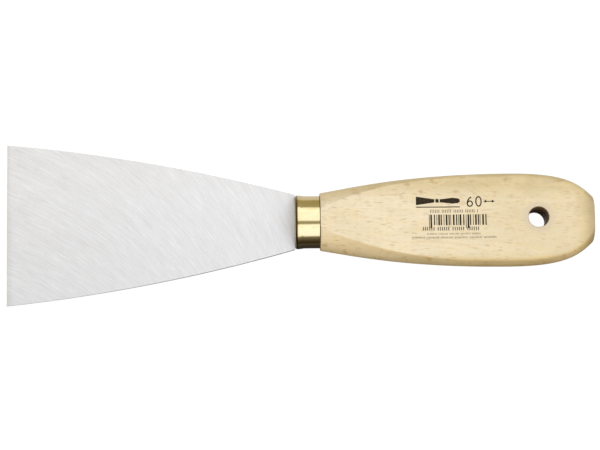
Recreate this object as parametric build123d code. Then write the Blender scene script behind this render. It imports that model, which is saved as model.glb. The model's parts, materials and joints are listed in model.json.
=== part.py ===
from build123d import *
import os

# Filling knife: a taper-ground steel blade, a drawn brass ferrule and a turned beech handle.
#
# Frame, in millimetres: X runs along the tool from the working edge to the butt, Y across the
# blade and Z up through the two milled faces of the handle. The origin is under the middle of
# the tool, on the surface that it lies on. Each piece is first shaped round the tool's own
# axis, which is the X axis, and is lifted by AXIS_HEIGHT when it is written.

# Lengths along the tool
BLADE_LENGTH = 106.1
FERRULE_LENGTH = 9.2
HANDLE_LENGTH = 101.3
TOTAL_LENGTH = BLADE_LENGTH + FERRULE_LENGTH + HANDLE_LENGTH
EDGE_X = -TOTAL_LENGTH / 2
NECK_X = EDGE_X + BLADE_LENGTH
SHOULDER_X = NECK_X + FERRULE_LENGTH
BUTT_X = TOTAL_LENGTH / 2

# Blade: its long sides are shallow outward arcs, and its faces are ground to a taper
BLADE_WIDTH = 60.0
NECK_WIDTH = 20.4
SIDE_MIDDLE_WIDTH = 44.9
EDGE_THICKNESS = 0.55
NECK_THICKNESS = 2.0
TANG_LENGTH = 58.0
TANG_WIDTH = 12.0
TANG_END_WIDTH = 9.0
TANG_CORNER_RADIUS = 2.0

# Ferrule: a cup with a slot in its front wall, a flared lip and a rounded front edge
FERRULE_RADIUS = 9.68
LIP_RADIUS = 9.95
FERRULE_WALL = 0.5
FRONT_ROUND = 0.9
INNER_ROUND = 0.4
FLARE_LENGTH = 3.0
SLOT_CLEARANCE = 0.1

# Handle: a turned shape whose radius swells in one long curve and drops in a short one
SHOULDER_RADIUS = 10.65
BELLY_RADIUS = 17.25
BELLY_FROM_SHOULDER = 69.8
BUTT_RADIUS = 8.45
BUTT_CROWN = 0.15
SWELL_START = (11.8, 1.9)
SWELL_END_LENGTH = 38.5
DROP_START_LENGTH = 19.7
DROP_END = (5.74, 5.79)
SPIGOT_CHAMFER = 0.6
SHOULDER_ROUND = 0.3
BUTT_ROUND = 0.6

# Milled faces: they run in from the shoulder in an S and stay parallel to the butt
SHOULDER_HALF_THICKNESS = 10.0
GRIP_HALF_THICKNESS = 7.2
FLAT_LEAD = 1.0
FLAT_RUN_IN = 47.0
FLAT_EASE = 0.38

# Hanging hole
HOLE_RADIUS = 3.75
HOLE_FROM_BUTT = 20.9
HOLE_CHAMFER = 0.25

# Mortise for the tang, filled with resin
MORTISE_GAP = 0.4
MORTISE_DEPTH_BEYOND_TANG = 2.0

AXIS_HEIGHT = SHOULDER_HALF_THICKNESS
BEYOND = 5.0


def side_face(edges, rounds=()):
    """A face in the XZ plane, from a closed ring of edges drawn as (x, z).

    Each of the rounds is a corner of the ring and the radius that it is rounded with."""
    face = make_face(Curve() + edges)
    for corner, radius in rounds:
        face = fillet(face.vertices().sort_by_distance(corner)[0], radius)
    return Plane.XZ * face


def turned(edges, rounds=()):
    """A solid of revolution about the tool's axis, from edges drawn as (x, radius)."""
    return revolve(side_face(edges, rounds), axis=Axis.X)


def slab_across(edges, half_width, rounds=()):
    """A solid with the given side view that reaches half_width to each side of the axis."""
    return Pos(0, half_width, 0) * extrude(side_face(edges, rounds), 2 * half_width)


def plate_along(outline, thickness):
    """A flat plate of an outline drawn in XY, centred on the axis."""
    return Pos(0, 0, -thickness / 2) * extrude(outline, thickness)


def tang_outline(gap, end_x):
    """The tang's outline, grown by a gap and cut off at end_x."""
    half = TANG_WIDTH / 2 + gap
    end_half = TANG_END_WIDTH / 2 + gap
    corners = [(NECK_X, -half), (end_x, -end_half), (end_x, end_half), (NECK_X, half)]
    face = make_face(Polyline(corners, close=True))
    ends = face.vertices().group_by(Axis.X)[-1]
    return fillet(ends, TANG_CORNER_RADIUS)


def make_blade():
    middle_x = (EDGE_X + NECK_X) / 2
    front, middle, neck = BLADE_WIDTH / 2, SIDE_MIDDLE_WIDTH / 2, NECK_WIDTH / 2
    outline = make_face(
        Curve()
        + [
            ThreePointArc((EDGE_X, front), (middle_x, middle), (NECK_X, neck)),
            Line((NECK_X, neck), (NECK_X, -neck)),
            ThreePointArc((NECK_X, -neck), (middle_x, -middle), (EDGE_X, -front)),
            Line((EDGE_X, -front), (EDGE_X, front)),
        ]
    )
    thin, thick = EDGE_THICKNESS / 2, NECK_THICKNESS / 2
    taper = [Polyline((EDGE_X, -thin), (NECK_X, -thick), (NECK_X, thick), (EDGE_X, thin), close=True)]
    plate = plate_along(outline, 2 * NECK_THICKNESS) & slab_across(taper, BLADE_WIDTH)
    return plate + plate_along(tang_outline(0, NECK_X + TANG_LENGTH), NECK_THICKNESS)


def ferrule_wall_line(inset, end_round):
    """The ferrule's outer line (inset 0) or inner line, from the front wall to the rear rim."""
    front_x = NECK_X + inset
    lip, rear = LIP_RADIUS - inset, FERRULE_RADIUS - inset
    lip_x = front_x + end_round
    flare_x = NECK_X + FRONT_ROUND + FLARE_LENGTH
    ease = (flare_x - lip_x) / 2
    return [
        Line((front_x, 0), (front_x, lip - end_round)),
        RadiusArc((front_x, lip - end_round), (lip_x, lip), end_round),
        Bezier((lip_x, lip), (lip_x + ease, lip), (flare_x - ease, rear), (flare_x, rear)),
        Line((flare_x, rear), (SHOULDER_X, rear)),
    ]


def make_ferrule():
    outer = ferrule_wall_line(0, FRONT_ROUND)
    inner = ferrule_wall_line(FERRULE_WALL, INNER_ROUND)
    axis_line = Line((NECK_X, 0), (NECK_X + FERRULE_WALL, 0))
    rim = Line((SHOULDER_X, FERRULE_RADIUS), (SHOULDER_X, FERRULE_RADIUS - FERRULE_WALL))
    cup = turned(outer + [rim] + inner + [axis_line])
    slot_width = TANG_WIDTH + 2 * SLOT_CLEARANCE
    slot_height = NECK_THICKNESS + 2 * SLOT_CLEARANCE
    return cup - Pos(NECK_X, 0, 0) * Box(2 * FRONT_ROUND, slot_width, slot_height)


def turned_handle():
    """The handle as it leaves the lathe, with its spigot for the ferrule."""
    spigot_x = NECK_X + FERRULE_WALL
    spigot = FERRULE_RADIUS - FERRULE_WALL
    belly_x = SHOULDER_X + BELLY_FROM_SHOULDER
    swell = Bezier(
        (SHOULDER_X, SHOULDER_RADIUS),
        (SHOULDER_X + SWELL_START[0], SHOULDER_RADIUS + SWELL_START[1]),
        (belly_x - SWELL_END_LENGTH, BELLY_RADIUS),
        (belly_x, BELLY_RADIUS),
    )
    shoulder_corner = (SHOULDER_X, SHOULDER_RADIUS)
    butt_corner = (BUTT_X - BUTT_CROWN, BUTT_RADIUS)
    drop = Bezier(
        (belly_x, BELLY_RADIUS),
        (belly_x + DROP_START_LENGTH, BELLY_RADIUS),
        (butt_corner[0] - DROP_END[0], BUTT_RADIUS + DROP_END[1]),
        butt_corner,
    )
    butt = TangentArc((BUTT_X, 0), butt_corner, tangent=(0, 1))
    straight_lines = Polyline(
        (BUTT_X, 0),
        (spigot_x, 0),
        (spigot_x, spigot - SPIGOT_CHAMFER),
        (spigot_x + SPIGOT_CHAMFER, spigot),
        (SHOULDER_X, spigot),
        shoulder_corner,
    )
    rounds = [(shoulder_corner, SHOULDER_ROUND), (butt_corner, BUTT_ROUND)]
    return turned([swell, drop, butt, straight_lines], rounds)


def milled_side():
    """Side view of what is left between the two milled faces, as a slab across the handle."""
    start_x = SHOULDER_X + FLAT_LEAD
    end_x = start_x + FLAT_RUN_IN
    ease = FLAT_EASE * FLAT_RUN_IN
    thick, thin = SHOULDER_HALF_THICKNESS, GRIP_HALF_THICKNESS
    front_x, rear_x = NECK_X - BEYOND, BUTT_X + BUTT_CROWN
    ring = [
        Line((front_x, -thick), (front_x, thick)),
        Line((front_x, thick), (start_x, thick)),
        Bezier((start_x, thick), (start_x + ease, thick), (end_x - ease, thin), (end_x, thin)),
        Line((end_x, thin), (rear_x, thin)),
        Line((rear_x, thin), (rear_x, -thin)),
        Line((rear_x, -thin), (end_x, -thin)),
        Bezier((end_x, -thin), (end_x - ease, -thin), (start_x + ease, -thick), (start_x, -thick)),
        Line((start_x, -thick), (front_x, -thick)),
    ]
    rounds = [((rear_x, thin), BUTT_ROUND), ((rear_x, -thin), BUTT_ROUND)]
    return slab_across(ring, BELLY_RADIUS + BEYOND, rounds)


def make_mortise():
    """The slot cut into the handle for the tang, as a solid."""
    start_x = NECK_X + FERRULE_WALL
    end_x = NECK_X + TANG_LENGTH + MORTISE_DEPTH_BEYOND_TANG
    block = plate_along(tang_outline(MORTISE_GAP, end_x), NECK_THICKNESS + 2 * MORTISE_GAP)
    depth = end_x - start_x
    return block & Pos(start_x + depth / 2, 0, 0) * Box(depth, 2 * TANG_WIDTH, 2 * NECK_THICKNESS)


def make_hanging_hole():
    """The drilled hole with its two chamfers, as a solid."""
    height = 2 * GRIP_HALF_THICKNESS
    mouth = HOLE_RADIUS + HOLE_CHAMFER
    cone = Cone(HOLE_RADIUS, mouth, HOLE_CHAMFER)
    cone_z = GRIP_HALF_THICKNESS - HOLE_CHAMFER / 2
    hole = Cylinder(HOLE_RADIUS, height) + Pos(0, 0, cone_z) * cone
    hole += Pos(0, 0, -cone_z) * Rot(180, 0, 0) * cone
    return Pos(BUTT_X - HOLE_FROM_BUTT, 0, 0) * hole


def make_handle():
    handle = turned_handle() & milled_side()
    return handle - make_mortise() - make_hanging_hole()


def make_adhesive(blade):
    return make_mortise() - blade


blade = make_blade()
pieces = {
    "blade": blade,
    "ferrule": make_ferrule(),
    "handle": make_handle(),
    "tang_adhesive": make_adhesive(blade),
}

os.makedirs("parts", exist_ok=True)
for name, piece in pieces.items():
    export_step(Pos(0, 0, AXIS_HEIGHT) * piece, f"parts/{name}.step")
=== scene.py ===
import bpy
import bmesh
import json
import math
from mathutils import Matrix, Vector


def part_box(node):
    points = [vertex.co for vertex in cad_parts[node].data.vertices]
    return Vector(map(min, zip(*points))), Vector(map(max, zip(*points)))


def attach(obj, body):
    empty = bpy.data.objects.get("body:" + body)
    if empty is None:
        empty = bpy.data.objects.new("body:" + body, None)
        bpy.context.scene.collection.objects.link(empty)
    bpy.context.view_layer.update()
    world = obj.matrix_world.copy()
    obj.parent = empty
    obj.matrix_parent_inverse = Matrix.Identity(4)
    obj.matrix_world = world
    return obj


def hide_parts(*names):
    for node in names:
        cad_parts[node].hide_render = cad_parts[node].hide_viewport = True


# A filling knife: ground steel blade, brass ferrule and a turned, milled beech handle with a
# generic ink marking. Metres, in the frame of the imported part: X from the working edge to the
# butt, Y across the blade, Z up. The tool's own axis lies at AXIS_Z above the floor.

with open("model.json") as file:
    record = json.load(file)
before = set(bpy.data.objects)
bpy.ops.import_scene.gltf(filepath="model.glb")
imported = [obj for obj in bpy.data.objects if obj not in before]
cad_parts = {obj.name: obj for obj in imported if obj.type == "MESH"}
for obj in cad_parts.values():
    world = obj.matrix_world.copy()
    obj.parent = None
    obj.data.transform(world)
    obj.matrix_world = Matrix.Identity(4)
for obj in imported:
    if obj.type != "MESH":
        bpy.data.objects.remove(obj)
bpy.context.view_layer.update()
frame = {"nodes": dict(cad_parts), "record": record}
MM = 0.001

# Places that the frame gives
BLADE_LOW, BLADE_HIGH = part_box("blade")
FERRULE_LOW, FERRULE_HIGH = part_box("ferrule")
HANDLE_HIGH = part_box("handle")[1]
HOLE = next(mount for mount in frame["record"]["mounts"] if mount["name"] == "hanging_hole")
EDGE_X = BLADE_LOW.x
NECK_X = FERRULE_LOW.x
SHOULDER_X = FERRULE_HIGH.x
BUTT_X = HANDLE_HIGH.x
TANG_END_X = BLADE_HIGH.x
AXIS_Z = (FERRULE_LOW.z + FERRULE_HIGH.z) / 2
HALF_EDGE = BLADE_HIGH.y
HOLE_X = HOLE["pos_m"][0]
HOLE_RADIUS = HOLE["dims"]["r_mm"] * MM

# Blade
HALF_NECK = 10.2 * MM
HALF_MIDDLE = 22.45 * MM
HALF_EDGE_THICKNESS = 0.275 * MM
HALF_NECK_THICKNESS = (BLADE_HIGH.z - BLADE_LOW.z) / 2
HALF_TANG = 6.0 * MM
HALF_TANG_END = 4.5 * MM
TANG_CORNER = 2.0 * MM
TANG_CORNER_STEPS = 8
BLADE_BEVEL = 0.07 * MM
HARD_EDGE = math.radians(40)
SIDE_STEPS = 72

# Ferrule
LIP_RADIUS = FERRULE_HIGH.z - AXIS_Z
FERRULE_RADIUS = 9.68 * MM
FERRULE_WALL = 0.5 * MM
FRONT_ROUND = 0.9 * MM
FLARE_END_X = NECK_X + 3.9 * MM
RIM_ROUND = 0.3 * MM
SLOT_CLEARANCE = 0.1 * MM
FERRULE_SEGMENTS = 192
FRONT_STEPS, FLARE_STEPS, RIM_STEPS = 10, 14, 4

# Handle, as it is turned
SPIGOT_RADIUS = FERRULE_RADIUS - FERRULE_WALL
SPIGOT_CHAMFER = 0.6 * MM
SHOULDER_RADIUS = 10.65 * MM
SHOULDER_ROUND = 0.3 * MM
SHOULDER_TURN_FROM, SHOULDER_TURN_TO, SHOULDER_STEPS = 165, 105, 3
BELLY_RADIUS = HANDLE_HIGH.y
BELLY_X = SHOULDER_X + 69.8 * MM
SWELL_START = (11.8 * MM, 1.9 * MM)
SWELL_END_LENGTH = 38.5 * MM
DROP_START_LENGTH = 19.7 * MM
DROP_END = (5.74 * MM, 5.79 * MM)
BUTT_RADIUS = 8.45 * MM
BUTT_CROWN = 0.15 * MM
BUTT_ROUND = 0.6 * MM
BUTT_LEAN = 45.3
SWELL_STEPS, DROP_STEPS, BUTT_STEPS, CROWN_STEPS = 90, 60, 6, 7

# Handle, as it is milled and sanded
SHOULDER_HALF = HANDLE_HIGH.z - AXIS_Z
GRIP_HALF = 7.2 * MM
RUN_IN_X = SHOULDER_X + 1.0 * MM
RUN_IN = 47.0 * MM
RUN_IN_EASE = 0.38
SOLVER_STEPS = 12
CRISP_CREASE = 0.25 * MM
SOFT_CREASE = 2.2 * MM
CREASE_SOFTENS = (SHOULDER_X + 22 * MM, SHOULDER_X + 60 * MM)
MOST_CREASE_TO_HALF = 0.8
MOST_CREASE_TO_RADIUS = 0.3
SIDE_CORNER = 0.8 * MM
HOLE_CHAMFER = 0.25 * MM
HOLE_EASE = 0.15 * MM
HOLE_SEGMENTS = 96
OVERSHOOT = 1.0 * MM
MORTISE_GAP = 0.4 * MM
MORTISE_BEYOND_TANG = 2.0 * MM
FLAT_STEPS, CREASE_STEPS, ROUND_STEPS = 14, 8, 26
ROUND_ONLY_SPLIT = 80.0

# Marking: ink just proud of the face. A sign of a scraper over a rule, the figure 60 for the
# blade's width, a double arrow, bars that stand for nothing, and ticks in place of writing. What
# is drawn is in millimetres: bands as (x, lower y, upper y) stations, bows as centre, half sizes
# and turn in degrees, and blocks as x0, x1, y0, y1.
INK_PROUD = 0.02 * MM
INK_SUNK = 0.02 * MM
INK_STEP = 1.0
BOW_STEPS = 28
SIGN_BANDS = (
    ((42.2, 4.7, 7.9), (49.0, 5.7, 6.9)),
    ((51.0, 5.75, 6.85), (55.6, 5.2, 7.4), (57.6, 5.4, 7.2), (58.4, 5.8, 6.8)),
)
SIGN_COLLAR = (49.4, 50.6, 5.65, 6.95)
SIGN_RULE = (42.2, 58.4, 3.8, 4.15)
FIGURE_WEIGHT = 0.46
FIGURE_BOWS = (
    ((62.1, 5.15), (1.15, 1.2), 0, 360),
    ((63.3, 5.2), (2.35, 2.75), 108, 180),
    ((65.3, 5.95), (1.2, 2.0), 0, 360),
)
ARROW_SHAFT = (68.2, 70.2, 5.8, 6.1)
ARROW_HEADS = (
    ((67.1, 5.93, 5.97), (68.2, 5.4, 6.5)),
    ((70.2, 5.4, 6.5), (71.3, 5.93, 5.97)),
)
BARS_FROM, BARS_TO = 46.9, 67.9
BARS_TOP, BARS_FOOT, BARS_LONG_FOOT = 1.15, -2.8, -3.9
BAR_WEIGHTS = (0.24, 0.62, 0.43)
BAR_GAPS = (0.26, 0.68, 0.54, 0.40)
BARS_TO_A_LONG_PAIR = 15
TICK_ROWS = (
    dict(x0=47.4, x1=65.6, y=1.85, height=1.15, pitch=0.62, weight=0.2, group=7),
    dict(x0=44.6, x1=67.0, y=-4.75, height=1.35, pitch=0.78, weight=0.3, group=7),
    dict(x0=46.2, x1=66.2, y=-6.3, height=0.6, pitch=0.46, weight=0.13, group=9),
    dict(x0=40.6, x1=71.8, y=-7.7, height=0.65, pitch=0.48, weight=0.15, group=11),
)

# Colours and grain
GRIND_RADIUS = 161 * MM
GRIND_START = EDGE_X - 38.5 * MM
GRIND_FEED = math.radians(80)
GRIND_MOST_STROKE = 0.98
STEEL_TONE = 0.50
STEEL_TINT = (0.946, 0.966, 1.12)
STEEL_ROUGHNESS = 0.56
BRASS_CLEAN = (0.64, 0.56, 0.40)
BRASS_DULL = (0.57, 0.495, 0.305)
# Dark brass for the front lip and rear rim: some soiling, mostly painted dark reflection and painted
# shade
BRASS_DIRT_AND_PAINTED_DARK = (0.16, 0.115, 0.045)
BRASS_ROUGHNESS = 0.09
WOOD_LIGHT = (0.745, 0.663, 0.575)
# Deeper wood, also used as painted shade towards the sides and the butt
WOOD_DEEP_AND_SHADE = (0.555, 0.46, 0.30)
# Painted light on the turned side facing -Y, and painted shade on the side facing +Y
WOOD_NEAR_SIDE_PAINTED_LIGHT = (1.14, 1.045, 0.84)
WOOD_FAR_SIDE_PAINTED_SHADE = (0.80, 0.85, 0.88)
WOOD_PINK = (0.80, 0.675, 0.49)
WOOD_STREAK = (0.66, 0.52, 0.32)
WOOD_RAY = (0.52, 0.39, 0.225)
WOOD_PORE = (0.42, 0.27, 0.14)
WOOD_HOLE_RING = (0.60, 0.515, 0.43)
# The hole's wall: drill-browned end grain, darkened further by painted shade
WOOD_SCORCH_AND_SHADE = (0.075, 0.036, 0.015)
WOOD_DRILLED_AND_SHADE = (0.16, 0.085, 0.04)
WOOD_ROUGHNESS = 0.46
GRAIN_SLANT = 0.07
RING_SPACING = 2.3 * MM
PITH = (0, 9 * MM, -52 * MM)
INK_FULL = (0.013, 0.009, 0.006)
INK_WORN = (0.22, 0.16, 0.10)
RESIN_CLEAR = (0.50, 0.36, 0.14)
RESIN_BUBBLE = (0.66, 0.53, 0.28)
FLOOR_GREY = (0.1, 0.1, 0.1, 1.0)
FLOOR_GLOW = 0.96

# Studio: each softbox's name, turn from straight up to +Y at its two edges, and radiance. Then
# the room's dim light by the same turn.
SOFTBOX_REACH = 1.2
SOFTBOX_ENDS = (-0.6, 1.3)
SOFTBOXES = (
    ("softbox_far", -2.7, 59.0, 1.28),
    ("softbox_near", -17.8, -73.0, 1.38),
)
ROOM = (
    (-180, (0.05, 0.045, 0.04)),
    (-132, (0.05, 0.045, 0.035)),
    (-123, (0.13, 0.11, 0.08)),
    (-115, (0.05, 0.04, 0.02)),
    (-104, (0.05, 0.04, 0.02)),
    (-92, (0.13, 0.10, 0.06)),
    (-72, (0.33, 0.30, 0.17)),
    (-20, (0.43, 0.40, 0.20)),
    (60, (0.54, 0.48, 0.25)),
    (102, (0.53, 0.43, 0.19)),
    (109, (0.94, 0.86, 0.66)),
    (180, (0.78, 0.72, 0.64)),
)
ROOM_END_FROM, ROOM_END_TO, ROOM_END_SHARE = -0.75, -0.35, 0.75
BACKDROP_GLOW = 0.97
FLOOR_SIZE = 8.0

# Camera, fitted to the photograph: it looks down on the tool from a little to the -Y side
CAMERA_TARGET = Vector((-0.32 * MM, -0.97 * MM, AXIS_Z))
CAMERA_PITCH = math.radians(9.06)
CAMERA_YAW = math.radians(-1.62)
CAMERA_ROLL = math.radians(0.89)
CAMERA_DISTANCE = 0.8763
CAMERA_LENS = 142.2
CAMERA_CLIP = (0.05, 20)

# Shading: edges that turn by less than this many degrees look smooth
SMOOTH_BELOW = 35
HANDLE_SMOOTH_BELOW = 50


def bezier(points, steps):
    """Points along a cubic curve, its start left out and its end kept."""
    start, leave, arrive, end = (Vector(p) for p in points)
    made = []
    for i in range(1, steps + 1):
        t = i / steps
        rest = 1 - t
        near_start = rest**3 * start + 3 * rest * rest * t * leave
        made.append(near_start + 3 * rest * t * t * arrive + t**3 * end)
    return made


def arc(centre, radius, start, end, steps):
    """Points along an arc, both ends included, from start to end in degrees."""
    made = []
    for i in range(steps + 1):
        angle = math.radians(start + (end - start) * i / steps)
        across, up = centre[0] + radius * math.cos(angle), centre[1] + radius * math.sin(angle)
        made.append(Vector((across, up)))
    return made


def smooth(t):
    """A smooth step from 0 to 1."""
    t = min(1.0, max(0.0, t))
    return t * t * (3 - 2 * t)


def new_piece(name, bm, material, node=None, sharp=SMOOTH_BELOW):
    """Turns a bmesh into a shaded piece that rides on the only body and may stand for a CAD node."""
    bmesh.ops.recalc_face_normals(bm, faces=bm.faces)
    mesh = bpy.data.meshes.new(name)
    bm.to_mesh(mesh)
    bm.free()
    mesh.polygons.foreach_set("use_smooth", [True] * len(mesh.polygons))
    mesh.set_sharp_from_angle(angle=math.radians(sharp))
    piece = bpy.data.objects.new(name, mesh)
    bpy.context.scene.collection.objects.link(piece)
    mesh.materials.append(material)
    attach(piece, "root")
    if node:
        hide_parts(node)
    return piece


def cut(piece, cutter):
    """Takes the cutter, a bmesh, out of the piece for good."""
    bmesh.ops.recalc_face_normals(cutter, faces=cutter.faces)
    mesh = bpy.data.meshes.new("cutter")
    cutter.to_mesh(mesh)
    cutter.free()
    tool = bpy.data.objects.new("cutter", mesh)
    bpy.context.scene.collection.objects.link(tool)
    boolean = piece.modifiers.new("cut", "BOOLEAN")
    boolean.operation = "DIFFERENCE"
    boolean.solver = "EXACT"
    boolean.object = tool
    graph = bpy.context.evaluated_depsgraph_get()
    made = bpy.data.meshes.new_from_object(piece.evaluated_get(graph))
    piece.modifiers.clear()
    old = piece.data
    made.name = old.name
    piece.data = made
    bpy.data.meshes.remove(old)
    bpy.data.objects.remove(tool)
    bpy.data.meshes.remove(mesh)
    piece.data.set_sharp_from_angle(angle=math.radians(SMOOTH_BELOW))


# ---------------------------------------------------------------- node helpers


class Nodes:
    """Builds one material. Each method adds a node and returns an output socket."""

    def __init__(self, name):
        self.material = bpy.data.materials.new(name)
        self.material.use_nodes = True
        self.tree = self.material.node_tree
        self.shader = self.tree.nodes["Principled BSDF"]
        self.place = self.tree.nodes.new("ShaderNodeTexCoord").outputs["Object"]

    def put(self, value, socket):
        """Links the socket to another node's output, or sets it to a plain value."""
        if isinstance(value, bpy.types.NodeSocket):
            self.tree.links.new(value, socket)
        else:
            socket.default_value = value

    def set(self, name, value):
        """Feeds one of the shader's own inputs."""
        self.put(value, self.shader.inputs[name])

    def math(self, operation, a, b=0.0, c=0.0, clamp=False):
        node = self.tree.nodes.new("ShaderNodeMath")
        node.operation = operation
        node.use_clamp = clamp
        for socket, value in zip(node.inputs, (a, b, c)):
            self.put(value, socket)
        return node.outputs[0]

    def plus(self, total, layer, share):
        """The total with a share of the layer added."""
        return self.math("MULTIPLY_ADD", layer, share, total)

    def vector(self, operation, a, b=(0, 0, 0), scale=None):
        node = self.tree.nodes.new("ShaderNodeVectorMath")
        node.operation = operation
        self.put(a, node.inputs[0])
        self.put(b, node.inputs[1])
        if scale is not None:
            self.put(scale, node.inputs["Scale"])
        return node.outputs["Value" if operation == "LENGTH" else "Vector"]

    def split(self, vector):
        node = self.tree.nodes.new("ShaderNodeSeparateXYZ")
        self.put(vector, node.inputs[0])
        return node.outputs

    def join(self, x=0.0, y=0.0, z=0.0):
        node = self.tree.nodes.new("ShaderNodeCombineXYZ")
        for socket, value in zip(node.inputs, (x, y, z)):
            self.put(value, socket)
        return node.outputs[0]

    def stretched(self, sizes, vector=None, shift=(0, 0, 0)):
        """Coordinates in which a noise of scale 1 has features of these sizes, in millimetres."""
        node = self.tree.nodes.new("ShaderNodeMapping")
        node.inputs["Scale"].default_value = [1 / (size * MM) for size in sizes]
        node.inputs["Location"].default_value = shift
        self.put(self.place if vector is None else vector, node.inputs["Vector"])
        return node.outputs[0]

    def noise(self, vector, detail=2.0, roughness=0.5):
        node = self.tree.nodes.new("ShaderNodeTexNoise")
        self.put(vector, node.inputs["Vector"])
        node.inputs["Scale"].default_value = 1.0
        node.inputs["Detail"].default_value = detail
        node.inputs["Roughness"].default_value = roughness
        return node.outputs["Fac"]

    def dashes(self, sizes, vector, outer, inner, shift=(0, 0, 0)):
        """Scattered spots, one to a cell of these sizes, each fading from inner to outer.

        Each has a strength of its own."""
        node = self.tree.nodes.new("ShaderNodeTexVoronoi")
        node.inputs["Scale"].default_value = 1.0
        self.put(self.stretched(sizes, vector, shift), node.inputs["Vector"])
        spot = self.ramp(node.outputs["Distance"], outer, inner)
        strength = self.ramp(self.split(node.outputs["Color"])[0], 0.05, 0.8)
        return self.math("MULTIPLY", spot, strength)

    def ramp(self, value, low, high, to_low=0.0, to_high=1.0):
        """A smooth step from low to high."""
        node = self.tree.nodes.new("ShaderNodeMapRange")
        node.interpolation_type = "SMOOTHSTEP"
        for socket, number in zip(node.inputs[:5], (value, low, high, to_low, to_high)):
            self.put(number, socket)
        return node.outputs[0]

    def mix(self, share, a, b):
        node = self.tree.nodes.new("ShaderNodeMix")
        node.data_type = "RGBA"
        self.put(share, node.inputs[0])
        for socket, value in zip(node.inputs[6:8], (a, b)):
            self.put(value if isinstance(value, bpy.types.NodeSocket) else (*value, 1.0), socket)
        return node.outputs[2]

    def shade(self, colour, amount):
        """The colour multiplied by a grey amount."""
        return self.vector("SCALE", colour, scale=amount)

    def bump(self, height, distance, strength=1.0):
        node = self.tree.nodes.new("ShaderNodeBump")
        node.inputs["Strength"].default_value = strength
        node.inputs["Distance"].default_value = distance
        self.put(height, node.inputs["Height"])
        self.set("Normal", node.outputs[0])


# ---------------------------------------------------------------- materials


def steel():
    """Spring steel, ground in arcs of one radius, each a little further along the wheel's feed."""
    mat = Nodes("blade_steel_ground")
    x, y, z = mat.split(mat.place)
    feed_x, feed_y = math.cos(GRIND_FEED), math.sin(GRIND_FEED)
    stroke = mat.math("MULTIPLY_ADD", x, feed_y / GRIND_RADIUS, -GRIND_START * feed_y / GRIND_RADIUS)
    stroke = mat.plus(stroke, y, -feed_x / GRIND_RADIUS)
    stroke = mat.math("MINIMUM", stroke, GRIND_MOST_STROKE)
    swing = mat.math("ARCSINE", stroke)
    rise = mat.math("COSINE", swing)
    fed = mat.math("MULTIPLY_ADD", x, feed_x, mat.math("MULTIPLY", y, feed_y))
    fed = mat.plus(fed, rise, -GRIND_RADIUS)
    arcs = mat.join(fed, mat.math("MULTIPLY", swing, GRIND_RADIUS), mat.math("MULTIPLY", z, 3.0))

    # Grinding lines, narrow across the arcs and long along them, then what crosses and clouds them
    fine = mat.noise(mat.stretched((0.26, 6.5, 4.0), arcs), detail=3.0, roughness=0.65)
    lines = mat.noise(mat.stretched((0.75, 16.0, 4.0), arcs), detail=3.0, roughness=0.62)
    bands = mat.noise(mat.stretched((3.5, 40.0, 4.0), arcs))
    dark = mat.noise(mat.stretched((0.5, 9.0, 4.0), arcs, shift=(2.0, 5.0, 1.0)))
    scratches = mat.ramp(dark, 0.55, 0.68)
    bright = mat.noise(mat.stretched((0.5, 8.0, 4.0), arcs, shift=(7.0, 1.0, 3.0)))
    gleams = mat.ramp(bright, 0.54, 0.68)
    crossing = mat.noise(mat.stretched((7.0, 0.5, 4.0), arcs), detail=3.0, roughness=0.6)
    grit = mat.noise(mat.stretched((0.55, 0.55, 0.55)), roughness=0.6)
    clouds = mat.noise(mat.stretched((22.0, 18.0, 20.0)))

    tone = mat.plus(STEEL_TONE, fine, 0.12)
    tone = mat.plus(tone, lines, 0.135)
    tone = mat.plus(tone, bands, 0.06)
    tone = mat.plus(tone, crossing, 0.05)
    tone = mat.plus(tone, clouds, 0.04)
    tone = mat.plus(tone, grit, 0.07)
    tone = mat.plus(tone, scratches, -0.045)
    tone = mat.plus(tone, gleams, 0.05)
    mat.set("Base Color", mat.shade(STEEL_TINT, tone))
    rough = mat.plus(STEEL_ROUGHNESS, lines, 0.12)
    mat.set("Roughness", mat.plus(rough, clouds, 0.06))
    mat.set("Metallic", 1.0)
    mat.set("Anisotropic", 0.2)

    # The sheen runs along the arcs
    along_x = mat.math("MULTIPLY_ADD", rise, feed_y, mat.math("MULTIPLY", stroke, -feed_x))
    along_y = mat.math("MULTIPLY_ADD", rise, -feed_x, mat.math("MULTIPLY", stroke, -feed_y))
    mat.set("Tangent", mat.join(along_x, along_y))
    height = mat.plus(lines, fine, 0.6)
    mat.bump(mat.plus(height, scratches, -0.6), 0.006 * MM, strength=0.8)
    return mat.material


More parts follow.
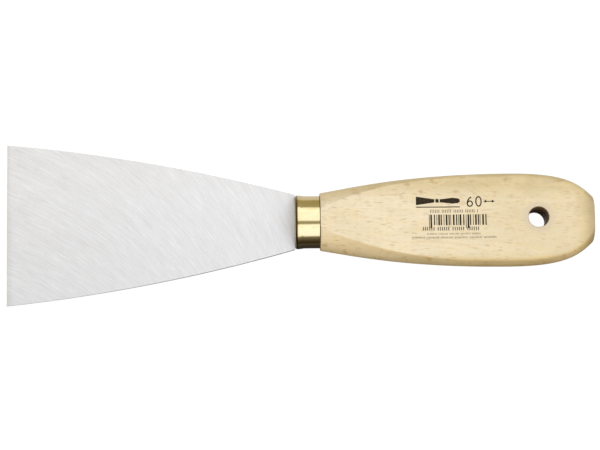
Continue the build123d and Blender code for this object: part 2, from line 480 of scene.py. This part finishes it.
def brass():
    """Drawn brass, polished, with the faint rings and lengthwise lines of drawing and turning."""
    mat = Nodes("ferrule_brass_polished")
    from_axis = mat.vector("SUBTRACT", mat.place, (0, 0, AXIS_Z))
    x, y, z = mat.split(from_axis)
    reach = mat.vector("LENGTH", mat.vector("MULTIPLY", from_axis, (0, 1, 1)))
    round_the_axis = mat.math("MULTIPLY", mat.math("ARCTAN2", z, y), FERRULE_RADIUS)
    wrapped = mat.join(x, round_the_axis, 0.0)
    rings = mat.noise(mat.stretched((0.14, 14.0, 1.0), wrapped), detail=3.0, roughness=0.6)
    draw_lines = mat.noise(mat.stretched((6.0, 0.22, 1.0), wrapped))
    tarnish = mat.noise(mat.stretched((5.0, 2.5, 5.0)), detail=3.0, roughness=0.6)
    colour = mat.mix(mat.ramp(tarnish, 0.42, 0.72), BRASS_CLEAN, BRASS_DULL)

    # Painted dark reflection, with some soiling, on the front lip's round, and painted shade on the rear
    # rim where it meets the shoulder
    lip_x = mat.ramp(x, NECK_X + 1.15 * MM, NECK_X + 0.6 * MM)
    lip = mat.math("MULTIPLY", lip_x, mat.ramp(reach, 8.6 * MM, 9.0 * MM))
    rear = mat.ramp(x, SHOULDER_X - 0.4 * MM, SHOULDER_X - 0.1 * MM)
    colour = mat.mix(mat.math("MAXIMUM", lip, rear), colour, BRASS_DIRT_AND_PAINTED_DARK)
    mat.set("Base Color", mat.shade(colour, mat.plus(0.97, rings, 0.06)))
    mat.set("Metallic", 1.0)

    # The front wall isn't polished
    front_wall = mat.ramp(x, NECK_X + 0.15 * MM, NECK_X + 0.05 * MM, to_high=0.3)
    mat.set("Roughness", mat.plus(mat.math("ADD", front_wall, BRASS_ROUGHNESS), tarnish, 0.12))
    mat.bump(mat.plus(draw_lines, rings, 0.8), 0.006 * MM, strength=0.5)
    return mat.material


def beech():
    """Steamed beech, sawn so that the upper and lower faces show short ray flecks along the grain.

    The rays are thin upright sheets: dashes on the milled faces, broad flecks on the sides."""
    mat = Nodes("handle_beech_sanded")
    normal = mat.split(mat.tree.nodes.new("ShaderNodeNewGeometry").outputs["Normal"])
    sway = mat.noise(mat.stretched((38.0, 22.0, 22.0)))
    drift = mat.math("MULTIPLY_ADD", sway, 10 * MM, -5 * MM)
    x, y, z = mat.split(mat.place)
    slanted = mat.plus(y, x, GRAIN_SLANT)
    grain = mat.join(x, mat.math("ADD", slanted, drift), mat.plus(z, drift, 0.5))

    # Growth rings round a pith that lies below the handle
    rings_from = mat.vector("SUBTRACT", grain, PITH)
    ring_reach = mat.vector("LENGTH", mat.vector("MULTIPLY", rings_from, (0.12, 1, 1)))
    wander = mat.noise(mat.stretched((40.0, 9.0, 9.0)))
    ring_reach = mat.plus(ring_reach, wander, 2.6 * MM)
    ring = mat.math("SINE", mat.math("MULTIPLY", ring_reach, 2 * math.pi / RING_SPACING))

    ray = mat.dashes((4.3, 0.74, 9.0), grain, 0.40, 0.12)
    short_ray = mat.dashes((2.3, 0.55, 6.0), grain, 0.40, 0.1, shift=(3.1, 5.7, 1.3))
    fibre = mat.noise(mat.stretched((7.0, 0.16, 0.4), grain), detail=3.0, roughness=0.62)
    streaks = mat.stretched((24.0, 0.9, 1.4), grain, shift=(4.0, 1.0, 7.0))
    streaks = mat.noise(streaks, detail=3.0, roughness=0.6)
    pores = mat.noise(mat.stretched((1.6, 0.09, 0.12), grain, shift=(9.0, 2.0, 4.0)), detail=1.0)
    pore = mat.ramp(pores, 0.62, 0.76)
    clouds = mat.noise(mat.stretched((24.0, 9.0, 9.0)), detail=3.0, roughness=0.55)
    blush = mat.noise(mat.stretched((9.0, 4.5, 6.0), shift=(5.0, 3.0, 1.0)), detail=3.0, roughness=0.6)

    # Stains, mostly on the far half of the milled faces
    stain = mat.ramp(mat.noise(mat.stretched((4.5, 3.0, 4.0), shift=(2.0, 8.0, 3.0))), 0.56, 0.74)
    stain = mat.math("MULTIPLY", stain, mat.ramp(y, 5 * MM, 12 * MM, 0.12, 0.75))
    facing_up = mat.math("ABSOLUTE", normal[2])
    stain = mat.math("MULTIPLY", stain, mat.ramp(facing_up, 0.3, 0.8, 0.2, 1.0))

    # Painted shade: darker towards the rounded sides and towards the butt, mixed with clouds of deeper
    # wood
    radial = mat.math("ABSOLUTE", mat.math("ADD", mat.math("DIVIDE", y, BELLY_RADIUS), 0.17))
    painted_side_shade = mat.ramp(radial, 0.5, 1.1, to_high=1.25)
    along = mat.ramp(x, SHOULDER_X + 20 * MM, BUTT_X - 12 * MM, to_high=0.35)
    along = mat.math("ADD", along, mat.ramp(x, BUTT_X - 9 * MM, BUTT_X))
    share = mat.math("ADD", painted_side_shade, mat.math("ADD", along, -0.38))
    share = mat.math("MULTIPLY_ADD", clouds, 0.85, share, clamp=True)
    colour = mat.mix(share, WOOD_LIGHT, WOOD_DEEP_AND_SHADE)
    colour = mat.mix(mat.ramp(blush, 0.42, 0.64, to_high=0.3), colour, WOOD_PINK)
    colour = mat.mix(mat.ramp(streaks, 0.42, 0.68, to_high=0.35), colour, WOOD_STREAK)
    colour = mat.mix(mat.plus(0.06, ring, 0.06), colour, WOOD_STREAK)
    colour = mat.mix(mat.math("MULTIPLY", ray, 0.68), colour, WOOD_RAY)
    colour = mat.mix(mat.math("MULTIPLY", short_ray, 0.42), colour, WOOD_RAY)
    colour = mat.mix(mat.math("MULTIPLY", pore, 0.2), colour, WOOD_PORE)
    colour = mat.mix(stain, colour, WOOD_PORE)
    colour = mat.shade(colour, mat.plus(0.94, fibre, 0.12))

    # Painted light and shade by side: the turned side facing -Y is painted warmer and brighter, and the
    # side facing +Y greyer and darker
    near = mat.vector("MULTIPLY", colour, WOOD_NEAR_SIDE_PAINTED_LIGHT)
    far = mat.vector("MULTIPLY", colour, WOOD_FAR_SIDE_PAINTED_SHADE)
    colour = mat.mix(mat.ramp(normal[1], -0.2, -0.75), colour, near)
    far_facing_for_shade = mat.plus(normal[1], normal[0], 0.35)
    colour = mat.mix(mat.ramp(far_facing_for_shade, 0.85, 1.0), colour, far)

    # Painted shade makes the faces darker and warmer towards the butt, and its end grain takes the finish
    # darker still
    colour = mat.mix(mat.ramp(x, BUTT_X - 7 * MM, BUTT_X + 2 * MM, to_high=0.5), colour, WOOD_STREAK)
    colour = mat.shade(colour, mat.ramp(x, BUTT_X - 4.8 * MM, BUTT_X - 0.3 * MM, 1.0, 0.66))
    end_on = mat.ramp(mat.math("ABSOLUTE", normal[0]), 0.55, 0.95)
    end_rings = mat.plus(mat.plus(0.36, pore, 0.3), ring, 0.13)
    colour = mat.mix(mat.math("MULTIPLY", end_on, end_rings), colour, WOOD_RAY)

    # The hole's wall is near black: drill-browned end grain with painted shade inside the hole. A faint
    # darker ring lies round the hole
    from_hole = mat.vector("SUBTRACT", mat.place, (HOLE_X, 0, 0))
    reach = mat.vector("LENGTH", mat.vector("MULTIPLY", from_hole, (1, 1, 0)))
    hole_ring = mat.ramp(mat.plus(reach, clouds, -2 * MM), 3.8 * MM, 5.6 * MM, 0.85, 0.0)
    colour = mat.mix(hole_ring, colour, WOOD_HOLE_RING)
    wall = mat.ramp(reach, HOLE_RADIUS + 0.02 * MM, HOLE_RADIUS + 0.2 * MM, 1.0, 0.0)
    drilled = mat.noise(mat.stretched((1.5, 1.5, 0.25)), roughness=0.6)
    wall_browned_and_shaded = mat.mix(mat.ramp(drilled, 0.4, 0.65), WOOD_SCORCH_AND_SHADE, WOOD_DRILLED_AND_SHADE)
    colour = mat.mix(mat.math("MULTIPLY", wall, 0.92), colour, wall_browned_and_shaded)

    mat.set("Base Color", colour)
    rough = mat.plus(WOOD_ROUGHNESS, ray, -0.06)
    mat.set("Roughness", mat.plus(rough, fibre, 0.12))
    mat.set("Specular IOR Level", mat.plus(0.5, wall, -0.42))
    mat.set("Coat Weight", mat.plus(0.12, wall, -0.12))
    mat.set("Coat Roughness", 0.3)
    height = mat.math("SUBTRACT", mat.math("MULTIPLY", fibre, 0.5), mat.math("MULTIPLY", pore, 0.8))
    mat.bump(mat.plus(height, ray, -0.35), 0.03 * MM, strength=0.45)
    return mat.material


def resin():
    """Cast resin with small trapped bubbles, hidden in the mortise."""
    mat = Nodes("tang_resin_cast")
    bubbles = mat.noise(mat.stretched((0.5, 0.5, 0.5)), detail=1.0, roughness=0.4)
    bubbles = mat.ramp(bubbles, 0.62, 0.7)
    mat.set("Base Color", mat.mix(bubbles, RESIN_CLEAR, RESIN_BUBBLE))
    mat.set("Roughness", mat.plus(0.3, bubbles, 0.3))
    mat.bump(bubbles, 0.05 * MM, strength=0.4)
    return mat.material


def ink():
    """Stamped ink that lets a little of the grain through where it is thin."""
    mat = Nodes("marking_ink_black")
    thin = mat.noise(mat.stretched((1.4, 0.12, 1.0)), detail=3.0, roughness=0.65)
    thin = mat.ramp(thin, 0.46, 0.72)
    mat.set("Base Color", mat.mix(mat.math("MULTIPLY", thin, 0.35), INK_FULL, INK_WORN))
    mat.set("Roughness", mat.plus(0.65, thin, 0.2))
    mat.set("Specular IOR Level", 0.15)
    mat.bump(thin, 0.004 * MM, strength=0.4)
    return mat.material


def pale_floor():
    """A floor that glows evenly, so that it stays white right up to the tool."""
    mat = Nodes("stage_pale")
    mat.set("Base Color", FLOOR_GREY)
    mat.set("Roughness", 1.0)
    mat.set("Specular IOR Level", 0.0)
    mat.set("Emission Color", (1, 1, 1, 1))
    mat.set("Emission Strength", FLOOR_GLOW)
    return mat.material


# ---------------------------------------------------------------- blade


def blade_half_width(x):
    """Half the blade's width at x: an arc through its edge, middle and neck widths."""
    length = NECK_X - EDGE_X
    middle = Vector((length / 2, HALF_MIDDLE))
    edge = Vector((0, HALF_EDGE))
    to_edge = edge - middle
    to_neck = Vector((length, HALF_NECK)) - middle
    scale = 2 * (to_edge.x * to_neck.y - to_edge.y * to_neck.x)
    edge_squared, neck_squared = to_edge.length_squared, to_neck.length_squared
    centre_x = to_neck.y * edge_squared - to_edge.y * neck_squared
    centre_y = to_edge.x * neck_squared - to_neck.x * edge_squared
    centre = middle + Vector((centre_x, centre_y)) / scale
    radius = (edge - centre).length
    return centre.y + math.sqrt(radius**2 - (x - EDGE_X - centre.x) ** 2)


def make_blade(material):
    """The ground plate and its tang, with every edge just eased."""
    side = []
    for i in range(SIDE_STEPS + 1):
        x = EDGE_X + (NECK_X - EDGE_X) * i / SIDE_STEPS
        side.append((x, blade_half_width(x)))
    slope = (HALF_TANG - HALF_TANG_END) / (TANG_END_X - NECK_X)
    corner_centre = (TANG_END_X - TANG_CORNER, HALF_TANG_END - TANG_CORNER)
    lean = math.degrees(math.atan(slope))
    tang = [Vector((NECK_X, HALF_TANG))]
    tang += arc(corner_centre, TANG_CORNER, 90 - lean, 0, TANG_CORNER_STEPS)

    def half_thickness(x):
        share = min(1.0, (x - EDGE_X) / (NECK_X - EDGE_X))
        return HALF_EDGE_THICKNESS + share * (HALF_NECK_THICKNESS - HALF_EDGE_THICKNESS)

    plate_ring = side + [tuple(tang[0])] + [(x, -y) for x, y in [tuple(tang[0])] + side[::-1]]
    tang_ring = [tuple(point) for point in tang] + [(point.x, -point.y) for point in tang[::-1]]
    bm = bmesh.new()
    places = {}

    def vertex(x, y, sign):
        key = (round(x, 8), round(y, 8), sign)
        if key not in places:
            places[key] = bm.verts.new((x, y, AXIS_Z + sign * half_thickness(x)))
        return places[key]

    for ring in (plate_ring, tang_ring):
        for sign in (1, -1):
            bm.faces.new([vertex(x, y, sign) for x, y in ring])
    outline = side + [tuple(point) for point in tang]
    outline += [(x, -y) for x, y in outline[::-1]]
    for (x0, y0), (x1, y1) in zip(outline, outline[1:] + outline[:1]):
        bm.faces.new([vertex(x0, y0, 1), vertex(x1, y1, 1), vertex(x1, y1, -1), vertex(x0, y0, -1)])
    bmesh.ops.recalc_face_normals(bm, faces=bm.faces)
    shared = [edge for edge in bm.edges if len(edge.link_faces) == 2]
    hard = [edge for edge in shared if edge.calc_face_angle() > HARD_EDGE]
    bmesh.ops.bevel(bm, geom=hard, offset=BLADE_BEVEL, segments=2, profile=0.5, affect="EDGES")
    return new_piece("blade_ground", bm, material, "blade")


# ---------------------------------------------------------------- ferrule


def spun(profile, segments):
    """A closed solid from (x, radius) points whose first and last lie on the axis."""
    bm = bmesh.new()
    rings = []
    for x, radius in profile:
        if radius == 0:
            rings.append([bm.verts.new((x, 0, AXIS_Z))])
            continue
        ring = []
        for i in range(segments):
            angle = 2 * math.pi * i / segments
            y, z = radius * math.cos(angle), radius * math.sin(angle)
            ring.append(bm.verts.new((x, y, AXIS_Z + z)))
        rings.append(ring)
    for ring, after in zip(rings, rings[1:]):
        for i in range(segments):
            j = (i + 1) % segments
            if len(ring) == 1:
                bm.faces.new([ring[0], after[i], after[j]])
            elif len(after) == 1:
                bm.faces.new([ring[i], after[0], ring[j]])
            else:
                bm.faces.new([ring[i], after[i], after[j], ring[j]])
    return bm


def box_bmesh(centre, size):
    """A box with its sides along the axes."""
    bm = bmesh.new()
    bmesh.ops.create_cube(bm, size=1.0)
    for vertex in bm.verts:
        places = zip(centre, vertex.co, size)
        vertex.co = Vector(middle + corner * side for middle, corner, side in places)
    return bm


def make_ferrule(material):
    """A drawn cup: slotted front wall, flared lip with a rounded edge, thin rear rim."""
    lip_x = NECK_X + FRONT_ROUND
    ease = (FLARE_END_X - lip_x) / 2
    outer = [Vector((NECK_X, 0)), Vector((NECK_X, LIP_RADIUS * 0.5))]
    outer += arc((lip_x, LIP_RADIUS - FRONT_ROUND), FRONT_ROUND, 180, 90, FRONT_STEPS)
    outer += bezier(
        [
            (lip_x, LIP_RADIUS),
            (lip_x + ease, LIP_RADIUS),
            (FLARE_END_X - ease, FERRULE_RADIUS),
            (FLARE_END_X, FERRULE_RADIUS),
        ],
        FLARE_STEPS,
    )
    rim_centre = (SHOULDER_X - RIM_ROUND, FERRULE_RADIUS - RIM_ROUND)
    outer += arc(rim_centre, RIM_ROUND, 90, 0, RIM_STEPS)
    inner_front = NECK_X + FERRULE_WALL
    inner = [Vector((SHOULDER_X, SPIGOT_RADIUS)), Vector((FLARE_END_X, SPIGOT_RADIUS))]
    inner += [Vector((lip_x, LIP_RADIUS - FERRULE_WALL)), Vector((inner_front, LIP_RADIUS - FRONT_ROUND))]
    inner += [Vector((inner_front, 0))]
    cup = spun(outer + inner, FERRULE_SEGMENTS)
    piece = new_piece("ferrule_drawn", cup, material, "ferrule")
    slot = (
        4 * FERRULE_WALL,
        2 * (HALF_TANG + SLOT_CLEARANCE),
        2 * (HALF_NECK_THICKNESS + SLOT_CLEARANCE),
    )
    cut(piece, box_bmesh((NECK_X, 0, AXIS_Z), slot))
    return piece


# ---------------------------------------------------------------- handle


def turned_profile():
    """(x, radius) from the shoulder's rounded corner over the belly to the middle of the butt."""
    swell = bezier(
        [
            (SHOULDER_X, SHOULDER_RADIUS),
            (SHOULDER_X + SWELL_START[0], SHOULDER_RADIUS + SWELL_START[1]),
            (BELLY_X - SWELL_END_LENGTH, BELLY_RADIUS),
            (BELLY_X, BELLY_RADIUS),
        ],
        SWELL_STEPS,
    )
    end_x = BUTT_X - BUTT_CROWN
    drop = bezier(
        [
            (BELLY_X, BELLY_RADIUS),
            (BELLY_X + DROP_START_LENGTH, BELLY_RADIUS),
            (end_x - DROP_END[0], BUTT_RADIUS + DROP_END[1]),
            (end_x, BUTT_RADIUS),
        ],
        DROP_STEPS,
    )
    shoulder = [Vector((SHOULDER_X, SHOULDER_RADIUS - SHOULDER_ROUND))]
    round_centre = (SHOULDER_X + SHOULDER_ROUND, SHOULDER_RADIUS - SHOULDER_ROUND)
    turn = (SHOULDER_TURN_FROM, SHOULDER_TURN_TO, SHOULDER_STEPS)
    shoulder += arc(round_centre, SHOULDER_ROUND, *turn)
    swell = [point for point in swell if point.x > SHOULDER_X + SHOULDER_ROUND]
    reach = BUTT_ROUND * math.tan(math.radians((90 - BUTT_LEAN) / 2))
    round_start_x = end_x - reach * math.cos(math.radians(BUTT_LEAN))
    drop = [point for point in drop if point.x < round_start_x]
    corner_centre = (end_x - BUTT_ROUND, BUTT_RADIUS - reach)
    corner = arc(corner_centre, BUTT_ROUND, 90 - BUTT_LEAN, 0, BUTT_STEPS)
    crown = []
    for i in range(1, CROWN_STEPS + 1):
        radius = (BUTT_RADIUS - reach) * (1 - i / CROWN_STEPS)
        crown.append(Vector((end_x + BUTT_CROWN * (1 - (radius / BUTT_RADIUS) ** 2), radius)))
    return shoulder + swell + drop + corner + crown


def milled_half(x):
    """Half the distance between the milled faces at x.

    The run-in is a cubic curve, whose parameter u at this x is found by Newton's method."""
    t = (x - RUN_IN_X) / RUN_IN
    if t <= 0:
        half = SHOULDER_HALF
    elif t >= 1:
        half = GRIP_HALF
    else:
        ease = RUN_IN_EASE
        u = t
        for _ in range(SOLVER_STEPS):
            along = 3 * (1 - u) ** 2 * u * ease + 3 * (1 - u) * u * u * (1 - ease) + u**3
            slope = 3 * (1 - u) ** 2 * ease + 6 * (1 - u) * u * (1 - 2 * ease) + 3 * u * u * ease
            u -= (along - t) / slope
        half = SHOULDER_HALF + (GRIP_HALF - SHOULDER_HALF) * u * u * (3 - 2 * u)
    corner_x = BUTT_X + BUTT_CROWN - SIDE_CORNER
    if x > corner_x:
        half += math.sqrt(max(0.0, SIDE_CORNER**2 - (x - corner_x) ** 2)) - SIDE_CORNER
    return half


def crease_radius(x):
    """The sanded radius between a milled face and the turned side, crisp by the ferrule."""
    start, end = CREASE_SOFTENS
    share = smooth((x - start) / (end - start))
    return CRISP_CREASE + (SOFT_CREASE - CRISP_CREASE) * share


def quarter_section(x, radius):
    """(y, z) points from the side of the handle up to the middle of the milled face."""
    half = milled_half(x)
    soft = min(crease_radius(x), MOST_CREASE_TO_HALF * half, MOST_CREASE_TO_RADIUS * radius)
    room = (radius - soft) ** 2 - (half - soft) ** 2
    if radius > half and room > 0:
        centre = (math.sqrt(room), half - soft)
        start = math.degrees(math.atan2(centre[1], centre[0]))
        points = arc((0, 0), radius, 0, start, ROUND_STEPS)[:-1]
        points += arc(centre, soft, start, 90, CREASE_STEPS)
        for i in range(1, FLAT_STEPS + 1):
            points.append(Vector((centre[0] * (1 - i / FLAT_STEPS), half)))
        return points

    # Towards the middle of the butt the section is wholly round
    points = arc((0, 0), radius, 0, ROUND_ONLY_SPLIT, ROUND_STEPS)[:-1]
    return points + arc((0, 0), radius, ROUND_ONLY_SPLIT, 90, CREASE_STEPS + FLAT_STEPS)


def whole_section(x, radius):
    """A closed ring of points round the axis, from four mirrored quarters."""
    quarter = quarter_section(x, radius)
    ring = quarter[:-1]
    ring += [Vector((-point.x, point.y)) for point in quarter[:0:-1]]
    ring += [Vector((-point.x, -point.y)) for point in quarter[:-1]]
    ring += [Vector((point.x, -point.y)) for point in quarter[:0:-1]]
    return [Vector((x, point.x, AXIS_Z + point.y)) for point in ring]


def bridge(bm, ring, after):
    """Joins two rings of as many points with faces."""
    for i in range(len(ring)):
        j = (i + 1) % len(ring)
        bm.faces.new([ring[i], after[i], after[j], ring[j]])


def hole_cutter():
    """The hanging hole with its eased edges, as a spun solid about an upright axis."""
    mouth = HOLE_RADIUS + HOLE_CHAMFER
    upper = [
        (GRIP_HALF + OVERSHOOT, 0),
        (GRIP_HALF + OVERSHOOT, mouth + OVERSHOOT),
        (GRIP_HALF + HOLE_EASE / 10, mouth + HOLE_EASE),
        (GRIP_HALF - HOLE_EASE / 3, mouth),
        (GRIP_HALF - HOLE_CHAMFER, HOLE_RADIUS + HOLE_EASE / 3),
        (GRIP_HALF - HOLE_CHAMFER - HOLE_EASE, HOLE_RADIUS),
    ]
    lower = [(-height, radius) for height, radius in upper[::-1]]
    bm = spun(upper + lower, HOLE_SEGMENTS)
    for vertex in bm.verts:
        z, y, x = vertex.co.x, vertex.co.y, vertex.co.z - AXIS_Z
        vertex.co = (HOLE_X + x, y, AXIS_Z + z)
    return bm


def make_handle(material):
    """The spigot and the turned and milled handle, with its hanging hole and mortise cut out."""
    bm = bmesh.new()
    stations = turned_profile()
    rings = []
    spigot_x = NECK_X + FERRULE_WALL
    spigot = [
        (spigot_x, SPIGOT_RADIUS - SPIGOT_CHAMFER),
        (spigot_x + SPIGOT_CHAMFER, SPIGOT_RADIUS),
        (SHOULDER_X, SPIGOT_RADIUS),
    ]
    first = whole_section(*stations[0])
    for x, radius in spigot:
        ring = []
        for point in first:
            way = Vector((point.y, point.z - AXIS_Z)).normalized() * radius
            ring.append(bm.verts.new((x, way.x, AXIS_Z + way.y)))
        rings.append(ring)
    for station in stations[:-1]:
        rings.append([bm.verts.new(point) for point in whole_section(*station)])
    for ring, after in zip(rings, rings[1:]):
        bridge(bm, ring, after)
    for ring, x in ((rings[0], spigot_x), (rings[-1], stations[-1].x)):
        tip = bm.verts.new((x, 0, AXIS_Z))
        for i in range(len(ring)):
            bm.faces.new([ring[i], ring[(i + 1) % len(ring)], tip])
    piece = new_piece("handle_turned", bm, material, "handle", HANDLE_SMOOTH_BELOW)
    cut(piece, hole_cutter())

    # The mortise opens through the front of the spigot, so its cutter starts in front of it
    cutter_from = spigot_x - 2 * MM
    mortise_end = TANG_END_X + MORTISE_BEYOND_TANG
    size = (
        mortise_end - cutter_from,
        2 * (HALF_TANG + MORTISE_GAP),
        2 * (HALF_NECK_THICKNESS + MORTISE_GAP),
    )
    cut(piece, box_bmesh(((mortise_end + cutter_from) / 2, 0, AXIS_Z), size))
    return piece


# ---------------------------------------------------------------- marking


class Stamp:
    """Thin printed shapes that lie on the upper milled face, drawn as (x, y) in millimetres."""

    def __init__(self):
        self.bm = bmesh.new()

    def corner(self, point, proud):
        """A point that stands this far proud of the milled face."""
        x, y = point[0] * MM, point[1] * MM
        return self.bm.verts.new((x, y, AXIS_Z + milled_half(x) + proud))

    def ribbon(self, pairs, closed=False):
        """A thin closed strip between two edges, from pairs of points that face each other."""
        rings = []
        for one, other in pairs:
            low = [self.corner(one, -INK_SUNK), self.corner(other, -INK_SUNK)]
            rings.append(low + [self.corner(other, INK_PROUD), self.corner(one, INK_PROUD)])
        if closed:
            rings.append(rings[0])
        else:
            self.bm.faces.new(rings[0])
            self.bm.faces.new(rings[-1][::-1])
        for ring, after in zip(rings, rings[1:]):
            bridge(self.bm, ring, after)

    def band(self, stations):
        """A shape along X from (x, lower y, upper y) stations, cut up so that it follows the face."""
        pairs = []
        for (x0, low0, high0), (x1, low1, high1) in zip(stations, stations[1:]):
            steps = max(1, round((x1 - x0) / INK_STEP))
            for i in range(steps):
                t = i / steps
                x = x0 + t * (x1 - x0)
                pairs.append(((x, low0 + t * (low1 - low0)), (x, high0 + t * (high1 - high0))))
        x, low, high = stations[-1]
        self.ribbon(pairs + [((x, low), (x, high))])

    def block(self, x0, x1, y0, y1):
        """A rectangle."""
        self.band([(x0, y0, y1), (x1, y0, y1)])

    def bow(self, centre, size, start, end, weight):
        """A line of the given weight along part of an ellipse, from start to end in degrees."""
        pairs = []
        whole = end - start == 360
        for i in range(BOW_STEPS + (0 if whole else 1)):
            angle = math.radians(start + (end - start) * i / BOW_STEPS)
            way = Vector((math.cos(angle), math.sin(angle)))
            outer = (centre[0] + size[0] * way.x, centre[1] + size[1] * way.y)
            inner = (centre[0] + (size[0] - weight) * way.x, centre[1] + (size[1] - weight) * way.y)
            pairs.append((outer, inner))
        self.ribbon(pairs, whole)

    def tick_row(self, x0, x1, y, height, pitch, weight, group):
        """Plain upright ticks in groups, in place of a line of writing."""
        for i in range(int((x1 - x0) / pitch)):
            if i % group < group - 1:
                x = x0 + i * pitch
                self.block(x, x + weight, y, y + height)


def make_marking(material):
    """A generic stamp: a scraper sign over a rule, the blade's width, plain ticks and plain bars."""
    stamp = Stamp()
    for stations in SIGN_BANDS + ARROW_HEADS:
        stamp.band(stations)
    for corners in (SIGN_COLLAR, SIGN_RULE, ARROW_SHAFT):
        stamp.block(*corners)
    for bow in FIGURE_BOWS:
        stamp.bow(*bow, FIGURE_WEIGHT)
    for row in TICK_ROWS:
        stamp.tick_row(**row)

    x = BARS_FROM
    index = 0
    while x < BARS_TO:
        weight = BAR_WEIGHTS[index % len(BAR_WEIGHTS)]
        foot = BARS_LONG_FOOT if index % BARS_TO_A_LONG_PAIR < 2 else BARS_FOOT
        stamp.block(x, x + weight, foot, BARS_TOP)
        x += weight + BAR_GAPS[index % len(BAR_GAPS)]
        index += 1
    return new_piece("grip_marking", stamp.bm, material)


# ---------------------------------------------------------------- stage


def make_stage():
    """The floor, which lights nothing and shows in no reflection."""
    bpy.ops.mesh.primitive_plane_add(size=FLOOR_SIZE, location=(0, 0, 0))
    floor = bpy.context.object
    floor.name = "stage_floor"
    floor.data.materials.append(pale_floor())
    floor.visible_glossy = False
    floor.visible_diffuse = False


def area_light(name, centre, aim, size, power):
    """A rectangular light that the camera doesn't see."""
    light = bpy.data.lights.new(name, "AREA")
    light.shape = "RECTANGLE"
    light.size, light.size_y = size
    light.energy = power
    lamp = bpy.data.objects.new(name, light)
    lamp.location = centre
    lamp.rotation_mode = "QUATERNION"
    lamp.rotation_quaternion = (Vector(aim) - Vector(centre)).to_track_quat("-Z", "Y")
    lamp.visible_camera = False
    bpy.context.scene.collection.objects.link(lamp)


def make_lights():
    """Two long softboxes over the tool, with the camera looking down through the gap between.

    Angles are turned from straight up towards +Y. The room behind is dim and a little warm."""
    for name, tilt_from, tilt_to, radiance in SOFTBOXES:
        ends = []
        for tilt in (tilt_from, tilt_to):
            angle = math.radians(tilt)
            ends.append(Vector((0, math.sin(angle), math.cos(angle))) * SOFTBOX_REACH)
        width = (ends[0] - ends[1]).length
        length = SOFTBOX_ENDS[1] - SOFTBOX_ENDS[0]
        centre = (ends[0] + ends[1]) / 2 + Vector((sum(SOFTBOX_ENDS) / 2, 0, AXIS_Z))
        watts = radiance * math.pi * width * length
        area_light(name, centre, (centre.x, 0, AXIS_Z), (length, width), watts)

    world = bpy.data.worlds.new("studio")
    bpy.context.scene.world = world
    world.use_nodes = True
    tree = world.node_tree
    background = tree.nodes["Background"]

    def put(kind, *inputs):
        """Adds a node. Each input is a socket to link, a plain value, or None to leave as it is."""
        node = tree.nodes.new(kind)
        for socket, value in zip(node.inputs, inputs):
            if isinstance(value, bpy.types.NodeSocket):
                tree.links.new(value, socket)
            elif value is not None:
                socket.default_value = value
        return node

    way = put("ShaderNodeTexCoord").outputs["Generated"]
    x, y, z = put("ShaderNodeSeparateXYZ", way).outputs
    tilt = put("ShaderNodeMath", y, z)
    tilt.operation = "ARCTAN2"
    turn = put("ShaderNodeMapRange", tilt.outputs[0], -math.pi, math.pi, 0.0, 1.0)
    room = put("ShaderNodeValToRGB", turn.outputs[0])
    ramp = room.color_ramp
    ramp.elements.remove(ramp.elements[-1])
    ramp.elements[0].color = (*ROOM[0][1], 1)
    for degrees, colour in ROOM[1:]:
        ramp.elements.new((degrees + 180) / 360).color = (*colour, 1)

    # Dimmer towards the working edge's end, and white where the camera sees it
    end_share = put("ShaderNodeMapRange", x, ROOM_END_FROM, ROOM_END_TO, ROOM_END_SHARE, 1.0)
    seen = put("ShaderNodeLightPath").outputs["Is Camera Ray"]
    strength = put("ShaderNodeMix", seen, None, end_share.outputs[0], BACKDROP_GLOW)
    colour = put("ShaderNodeMix")
    colour.data_type = "RGBA"
    tree.links.new(seen, colour.inputs[0])
    tree.links.new(room.outputs[0], colour.inputs[6])
    colour.inputs[7].default_value = (1, 1, 1, 1)
    tree.links.new(colour.outputs[2], background.inputs["Color"])
    tree.links.new(strength.outputs[0], background.inputs["Strength"])


def make_camera():
    """The camera, turned by pitch and yaw about the target and then rolled."""
    back_x = math.sin(CAMERA_YAW)
    back_y = -math.sin(CAMERA_PITCH) * math.cos(CAMERA_YAW)
    back_z = math.cos(CAMERA_PITCH) * math.cos(CAMERA_YAW)
    back = Vector((back_x, back_y, back_z)).normalized()
    right = (-back).cross(Vector((0, 1, 0))).normalized()
    up = right.cross(-back)
    turned_right = math.cos(CAMERA_ROLL) * right - math.sin(CAMERA_ROLL) * up
    turned_up = math.sin(CAMERA_ROLL) * right + math.cos(CAMERA_ROLL) * up
    lens = bpy.data.cameras.new("camera")
    lens.lens = CAMERA_LENS
    lens.clip_start, lens.clip_end = CAMERA_CLIP
    camera = bpy.data.objects.new("camera", lens)
    bpy.context.scene.collection.objects.link(camera)

    # The camera's own axes are the columns of its turn
    turn = Matrix((turned_right, turned_up, back)).transposed()
    camera.matrix_world = Matrix.Translation(CAMERA_TARGET + back * CAMERA_DISTANCE) @ turn.to_4x4()
    bpy.context.scene.camera = camera


make_blade(steel())
make_ferrule(brass())
make_handle(beech())
frame["nodes"]["tang_adhesive"].material_slots[0].material = resin()
make_marking(ink())
make_stage()
make_lights()
make_camera()
bpy.context.scene.view_settings.view_transform = "Standard"
